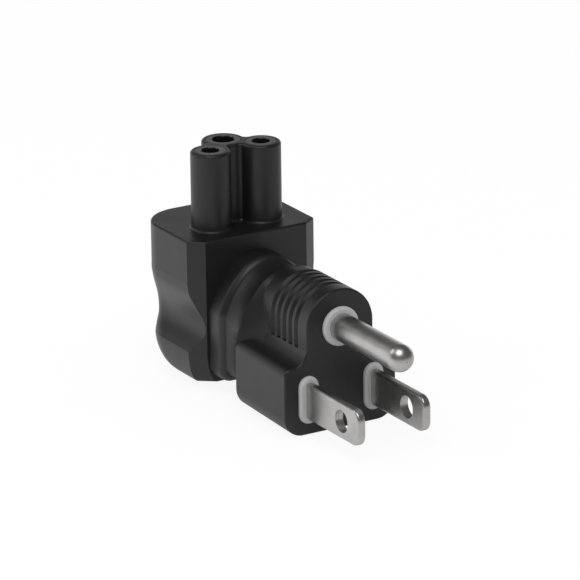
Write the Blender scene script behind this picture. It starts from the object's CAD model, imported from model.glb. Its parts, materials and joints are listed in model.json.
"""Looks of a right-angle adapter from a grounded wall plug to a trefoil appliance connector.

The black body is soft PVC moulded over its inner pieces, the collars round the pins are grey
PBT, and the pins are nickel-plated brass. All of its shapes come from the frame, so this file
gives them their materials and sets up the studio and the camera.
"""
import json
import math

import bpy
from mathutils import Matrix, Vector


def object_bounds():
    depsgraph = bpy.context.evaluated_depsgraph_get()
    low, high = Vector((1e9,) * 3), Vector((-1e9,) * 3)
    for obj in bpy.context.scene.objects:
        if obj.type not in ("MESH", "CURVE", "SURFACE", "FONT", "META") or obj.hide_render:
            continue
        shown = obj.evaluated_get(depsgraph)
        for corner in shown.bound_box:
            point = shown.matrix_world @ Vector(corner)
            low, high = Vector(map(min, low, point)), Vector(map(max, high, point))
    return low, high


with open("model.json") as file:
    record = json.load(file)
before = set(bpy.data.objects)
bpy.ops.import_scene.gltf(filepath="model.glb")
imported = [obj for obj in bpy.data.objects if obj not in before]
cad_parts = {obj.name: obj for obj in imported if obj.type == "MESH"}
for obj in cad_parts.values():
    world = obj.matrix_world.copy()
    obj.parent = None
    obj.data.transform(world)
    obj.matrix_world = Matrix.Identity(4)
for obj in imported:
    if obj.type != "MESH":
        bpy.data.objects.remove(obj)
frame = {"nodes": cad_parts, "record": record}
cad_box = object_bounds()

MM = 0.001
IMAGE_SIZE = 580
SENSOR = 36.0

# The photograph's camera: turn, height and roll in degrees, distance and shifts in millimetres
CAMERA_TURN = -30.569
CAMERA_HEIGHT = 19.157
CAMERA_ROLL = -0.737
CAMERA_DISTANCE = 893.4
CAMERA_ACROSS = -8.509
CAMERA_UP = 17.199
FOCAL_PIXELS = 5318.5
CLIP_START = 0.01
CLIP_END = 20.0

# Most values of a noise pattern lie between these two
NOISE_LOW = 0.3
NOISE_HIGH = 0.7

# Moulded plastic: relief of its slow ripple and of its grain, and spread of its roughness
FLOW_HEIGHT_MM = 0.012
GRAIN_HEIGHT_MM = 0.0035
PLASTIC_SPREAD = 0.025

# Plated metal: depth of its lines and of its ripple, and how far they change its roughness
LINE_HEIGHT_MM = 0.003
RIPPLE_HEIGHT_MM = 0.010
METAL_SMOOTHER = 0.04
METAL_ROUGHER = 0.06
# A line is this many times longer than it is wide
LINE_STRETCH = 20.0

# The floor is a sheet of white paper, just below the object
FLOOR_SIZE = 6.0
FLOOR_GAP_MM = 0.05
# How much of the paper's own shading, and so of the object's shadow, the camera sees
SHADOW_SHARE = 0.10
# Part of what the object mirrors of the floor is the shaded paper. The rest is a glow, which is
# brightest behind the object to the left, and dimmer in front of it to the right
PAPER_SHARE = 0.6
GLOW_FRONT = 0.22
GLOW_BACK = 1.0
GLOW_WAY = (-0.45, 0.89, 0.0)
GLOW_FROM_MM = -35.0
GLOW_TO_MM = 35.0

# The room: light on matt surfaces, and the dim level that shiny surfaces mirror
ROOM_FILL = 0.8
ROOM_DARK = 0.11
# Its white sweep fades out between these heights, and comes in between these ways to the back,
# each as a part of a direction of length 1
SWEEP_LOW = 0.15
SWEEP_HIGH = 0.45
SWEEP_SIDE = 0.0
SWEEP_BACK = 0.6

# Soft lamps: name, turn and height in degrees, distance and width in metres, brightness
LAMPS = (
    ("overhead_lamp", -35, 60, 0.6, 0.42, 3.2),
    ("side_lamp", -128, 42, 0.7, 0.34, 2.0),
)


def linear(hex_colour):
    """Turn an sRGB hex colour into linear RGBA."""
    values = []
    for start in (1, 3, 5):
        channel = int(hex_colour[start:start + 2], 16) / 255
        low = channel / 12.92
        high = ((channel + 0.055) / 1.055) ** 2.4
        values.append(low if channel <= 0.04045 else high)
    return (*values, 1.0)


def add_node(tree, kind, links=None, **settings):
    """Add a node with its settings and its links, both given by name, or by number as _0."""
    node = tree.nodes.new(kind)
    for name, value in settings.items():
        key = int(name[1:]) if name[1:].isdigit() else name.replace("_", " ")
        if isinstance(key, int) or key in node.inputs:
            node.inputs[key].default_value = value
        else:
            setattr(node, name, value)
    for key, source in (links or {}).items():
        tree.links.new(source, node.inputs[key])
    return node


def new_tree(name):
    """A material with an empty node tree."""
    material = bpy.data.materials.new(name)
    material.use_nodes = True
    material.node_tree.nodes.clear()
    return material, material.node_tree


def moulded_plastic(name, dark, light, roughness, ior=1.5, grain_mm=0.22, flow_mm=5.0):
    """Plastic out of a spark-eroded steel tool: a fine grain and slow changes of tone.

    A real grain of about 0.1 mm wouldn't show, so it is drawn twice as coarse.
    """
    material, tree = new_tree(name)
    place = add_node(tree, "ShaderNodeTexCoord")
    in_mm = add_node(
        tree, "ShaderNodeMapping", {"Vector": place.outputs["Object"]}, Scale=[1 / MM] * 3
    )
    flow = add_node(
        tree, "ShaderNodeTexNoise", {"Vector": in_mm.outputs["Vector"]},
        Scale=1 / flow_mm, Detail=3.0,
    )
    tone = add_node(
        tree, "ShaderNodeMix", {"Factor": flow.outputs["Fac"]}, data_type="RGBA",
        _6=linear(dark), _7=linear(light),
    )
    gloss = add_node(
        tree, "ShaderNodeMapRange", {"Value": flow.outputs["Fac"]},
        From_Min=NOISE_LOW, From_Max=NOISE_HIGH,
        To_Min=roughness - PLASTIC_SPREAD, To_Max=roughness + PLASTIC_SPREAD,
    )
    grain = add_node(
        tree, "ShaderNodeTexNoise", {"Vector": in_mm.outputs["Vector"]},
        Scale=1 / grain_mm, Detail=2.0,
    )
    sink = add_node(
        tree, "ShaderNodeBump", {"Height": flow.outputs["Fac"]}, Distance=FLOW_HEIGHT_MM * MM
    )
    skin = add_node(
        tree, "ShaderNodeBump",
        {"Height": grain.outputs["Fac"], "Normal": sink.outputs["Normal"]},
        Distance=GRAIN_HEIGHT_MM * MM,
    )
    shader = add_node(
        tree, "ShaderNodeBsdfPrincipled",
        {
            "Base Color": tone.outputs[2],
            "Roughness": gloss.outputs["Result"],
            "Normal": skin.outputs["Normal"],
        },
        IOR=ior,
    )
    add_node(tree, "ShaderNodeOutputMaterial", {"Surface": shader.outputs["BSDF"]})
    return material


def plated_metal(name, bright, dull, roughness, along, line_mm=0.12, cloud_mm=2.5):
    """Plated metal, with fine lines along the way in which it was drawn or ground.

    Real lines are a few hundredths of a millimetre wide, and are drawn coarser so that they show.
    """
    material, tree = new_tree(name)
    place = add_node(tree, "ShaderNodeTexCoord")
    in_mm = add_node(
        tree, "ShaderNodeMapping", {"Vector": place.outputs["Object"]}, Scale=[1 / MM] * 3
    )
    drawn = add_node(
        tree, "ShaderNodeMapping", {"Vector": place.outputs["Object"]},
        Scale=[(1 / LINE_STRETCH if axis == along else 1) / MM for axis in "XYZ"],
    )
    lines = add_node(
        tree, "ShaderNodeTexNoise", {"Vector": drawn.outputs["Vector"]},
        Scale=1 / line_mm, Detail=3.0,
    )
    clouds = add_node(
        tree, "ShaderNodeTexNoise", {"Vector": in_mm.outputs["Vector"]},
        Scale=1 / cloud_mm, Detail=3.0,
    )
    tone = add_node(
        tree, "ShaderNodeMix", {"Factor": clouds.outputs["Fac"]}, data_type="RGBA",
        _6=linear(dull), _7=linear(bright),
    )
    gloss = add_node(
        tree, "ShaderNodeMapRange", {"Value": lines.outputs["Fac"]},
        From_Min=NOISE_LOW, From_Max=NOISE_HIGH,
        To_Min=roughness - METAL_SMOOTHER, To_Max=roughness + METAL_ROUGHER,
    )
    scratches = add_node(
        tree, "ShaderNodeBump", {"Height": lines.outputs["Fac"]}, Distance=LINE_HEIGHT_MM * MM
    )
    ripple = add_node(
        tree, "ShaderNodeBump",
        {"Height": clouds.outputs["Fac"], "Normal": scratches.outputs["Normal"]},
        Distance=RIPPLE_HEIGHT_MM * MM,
    )
    shader = add_node(
        tree, "ShaderNodeBsdfPrincipled",
        {
            "Base Color": tone.outputs[2],
            "Roughness": gloss.outputs["Result"],
            "Normal": ripple.outputs["Normal"],
        },
        Metallic=1.0,
    )
    add_node(tree, "ShaderNodeOutputMaterial", {"Surface": shader.outputs["BSDF"]})
    return material


def make_materials():
    """One material for each kind of stuff in the adapter.

    The lines of drawn or stamped metal run along Y on the pins, and along Z on the sleeves.
    """
    return {
        # Soft PVC from a satin tool: a deep black whose broad soft reflections make it grey
        "overmould": moulded_plastic("moulded_black_pvc", "#131314", "#17171a", 0.42, 1.5),
        # Grey PBT is matt, a little chalky and very slightly mottled
        "bridge": moulded_plastic("moulded_grey_pbt", "#a4a4a5", "#adadad", 0.5, 1.55),
        # The connector's hard black PBT is a little shinier than the PVC round it
        "insert": moulded_plastic("moulded_black_pbt", "#111111", "#151516", 0.32, 1.56),
        # Bright nickel over brass: almost colourless, a mirror that fine lines have blurred
        "plated_pins": plated_metal("nickel_plated_brass", "#d0cfcd", "#b4b3b1", 0.33, "Y"),
        # Tin-plated spring bronze, duller and warmer than the pins
        "contacts": plated_metal("tin_plated_bronze", "#b9b2a4", "#9c9486", 0.34, "Z"),
        # Bare annealed copper, its strands drawn as lines
        "conductor": plated_metal("stranded_copper", "#c98a62", "#b3744e", 0.32, "Y"),
        # Wire insulation comes out of the extruder smooth, with a soft shine
        "insulation_white": moulded_plastic("extruded_white_pvc", "#dedcd4", "#e6e4dc", 0.42),
        "insulation_black": moulded_plastic("extruded_black_pvc", "#181818", "#1e1e1e", 0.42),
        "insulation_green": moulded_plastic("extruded_green_pvc", "#1d6b34", "#23773c", 0.42),
        # Natural polypropylene is milky and waxy
        "inner_mould": moulded_plastic("natural_polypropylene", "#c9c8c0", "#d2d1c9", 0.5, 1.49),
    }


def dress_nodes():
    """Give each piece of the frame the material of its slot in the record."""
    materials = make_materials()
    slots = {part["node"]: part["material_slot"] for part in frame["record"]["subparts"]}
    for name, node in frame["nodes"].items():
        node.data.materials.clear()
        node.data.materials.append(materials[slots[name]])


def way_out(turn, height):
    """The direction from the object at a turn from its plug side and a height, in degrees."""
    turn = math.radians(turn)
    height = math.radians(height)
    return Vector((
        math.sin(turn) * math.cos(height), -math.cos(turn) * math.cos(height), math.sin(height)
    ))


def place_camera():
    """Put the camera where the photograph was taken from."""
    turn = math.radians(CAMERA_TURN)
    roll = math.radians(CAMERA_ROLL)
    right = Vector((math.cos(turn), math.sin(turn), 0))
    back = way_out(CAMERA_TURN, CAMERA_HEIGHT)
    up = back.cross(right)
    across = right * math.cos(roll) + up * math.sin(roll)
    upward = up * math.cos(roll) - right * math.sin(roll)
    spot = across * CAMERA_ACROSS + upward * CAMERA_UP + back * CAMERA_DISTANCE
    data = bpy.data.cameras.new("photo_camera")
    data.sensor_width = SENSOR
    data.lens = FOCAL_PIXELS / IMAGE_SIZE * SENSOR
    data.clip_start = CLIP_START
    data.clip_end = CLIP_END
    camera = bpy.data.objects.new("photo_camera", data)
    bpy.context.collection.objects.link(camera)
    axes = Matrix((across, upward, back)).transposed().to_4x4()
    camera.matrix_world = Matrix.Translation(spot * MM) @ axes
    bpy.context.scene.camera = camera


def hang_lamp(name, turn, height, distance, across, brightness):
    """Hang a round soft lamp that looks at the object from a turn and a height."""
    light = bpy.data.lights.new(name, "AREA")
    light.shape = "DISK"
    light.size = across
    # A brightness of 1 is that of a white surface, and takes a power of pi times the area
    area = math.pi * across ** 2 / 4
    light.energy = brightness * math.pi * area
    lamp = bpy.data.objects.new(name, light)
    bpy.context.collection.objects.link(lamp)
    way = way_out(turn, height)
    middle = (Vector(cad_box[0]) + Vector(cad_box[1])) / 2
    lamp.location = middle + way * distance
    lamp.rotation_euler = way.to_track_quat("Z", "Y").to_euler()
    lamp.visible_camera = False


def show_by_ray(tree, to_camera, to_mirror, to_matt):
    """Mix what the camera sees, what shiny surfaces mirror and what lights matt ones."""
    rays = add_node(tree, "ShaderNodeLightPath")
    mirror_ray = add_node(
        tree, "ShaderNodeMath",
        {0: rays.outputs["Is Glossy Ray"], 1: rays.outputs["Is Transmission Ray"]},
        operation="MAXIMUM",
    )
    unseen = add_node(
        tree, "ShaderNodeMixShader",
        {"Fac": mirror_ray.outputs["Value"], 1: to_matt.outputs[0], 2: to_mirror.outputs[0]},
    )
    return add_node(
        tree, "ShaderNodeMixShader",
        {"Fac": rays.outputs["Is Camera Ray"], 1: unseen.outputs[0], 2: to_camera.outputs[0]},
    )


def lay_floor():
    """Lay white paper under the object. It keeps the object's shadow, and looks white."""
    lowest = cad_box[0][2]
    bpy.ops.object.select_all(action="DESELECT")
    bpy.ops.mesh.primitive_plane_add(
        size=FLOOR_SIZE, location=(0, 0, lowest - FLOOR_GAP_MM * MM)
    )
    floor = bpy.context.active_object
    floor.name = "studio_floor"
    material, tree = new_tree("white_background_paper")
    material.cycles.emission_sampling = "NONE"
    paper = add_node(
        tree, "ShaderNodeBsdfPrincipled", Base_Color=linear("#f4f4f4"), Roughness=0.9
    )
    white = add_node(tree, "ShaderNodeEmission", Color=linear("#ffffff"), Strength=1.0)
    seen = add_node(
        tree, "ShaderNodeMixShader",
        {1: white.outputs["Emission"], 2: paper.outputs["BSDF"]}, Fac=SHADOW_SHARE,
    )
    place = add_node(tree, "ShaderNodeTexCoord")
    along = add_node(
        tree, "ShaderNodeVectorMath", {0: place.outputs["Object"]},
        operation="DOT_PRODUCT", _1=GLOW_WAY,
    )
    fade = add_node(
        tree, "ShaderNodeMapRange", {"Value": along.outputs["Value"]},
        interpolation_type="SMOOTHSTEP", From_Min=GLOW_FROM_MM * MM,
        From_Max=GLOW_TO_MM * MM, To_Min=GLOW_FRONT, To_Max=GLOW_BACK,
    )
    glow = add_node(
        tree, "ShaderNodeEmission", {"Strength": fade.outputs["Result"]},
        Color=linear("#ffffff"),
    )
    mirrored = add_node(
        tree, "ShaderNodeMixShader",
        {1: glow.outputs["Emission"], 2: paper.outputs["BSDF"]}, Fac=PAPER_SHARE,
    )
    final = show_by_ray(tree, seen, mirrored, paper)
    add_node(tree, "ShaderNodeOutputMaterial", {"Surface": final.outputs["Shader"]})
    floor.data.materials.append(material)


def light_room():
    """Light the room: a white sweep low down behind the object, and dim elsewhere."""
    world = bpy.data.worlds.new("studio_room")
    bpy.context.scene.world = world
    world.use_nodes = True
    world.cycles.sampling_method = "NONE"
    tree = world.node_tree
    tree.nodes.clear()
    way = add_node(tree, "ShaderNodeTexCoord")
    axes = add_node(tree, "ShaderNodeSeparateXYZ", {"Vector": way.outputs["Generated"]})
    sweep = add_node(
        tree, "ShaderNodeMapRange", {"Value": axes.outputs["Z"]},
        interpolation_type="SMOOTHSTEP", From_Min=SWEEP_LOW, From_Max=SWEEP_HIGH,
        To_Min=1.0, To_Max=0.0,
    )
    behind = add_node(
        tree, "ShaderNodeMapRange", {"Value": axes.outputs["Y"]},
        interpolation_type="SMOOTHSTEP", From_Min=SWEEP_SIDE, From_Max=SWEEP_BACK,
        To_Min=0.0, To_Max=1.0,
    )
    share = add_node(
        tree, "ShaderNodeMath",
        {0: sweep.outputs["Result"], 1: behind.outputs["Result"]}, operation="MULTIPLY",
    )
    level = add_node(
        tree, "ShaderNodeMapRange", {"Value": share.outputs["Value"]},
        To_Min=ROOM_DARK, To_Max=1.0,
    )
    mirrored = add_node(
        tree, "ShaderNodeBackground", {"Strength": level.outputs["Result"]},
        Color=linear("#ffffff"),
    )
    fill = add_node(tree, "ShaderNodeBackground", Color=linear("#ffffff"), Strength=ROOM_FILL)
    white = add_node(tree, "ShaderNodeBackground", Color=linear("#ffffff"), Strength=1.0)
    final = show_by_ray(tree, white, mirrored, fill)
    add_node(tree, "ShaderNodeOutputWorld", {"Surface": final.outputs["Shader"]})


def main():
    """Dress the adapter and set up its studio."""
    place_camera()
    dress_nodes()
    lay_floor()
    light_room()
    for lamp in LAMPS:
        hang_lamp(*lamp)
    bpy.context.scene.view_settings.view_transform = "Standard"


main()
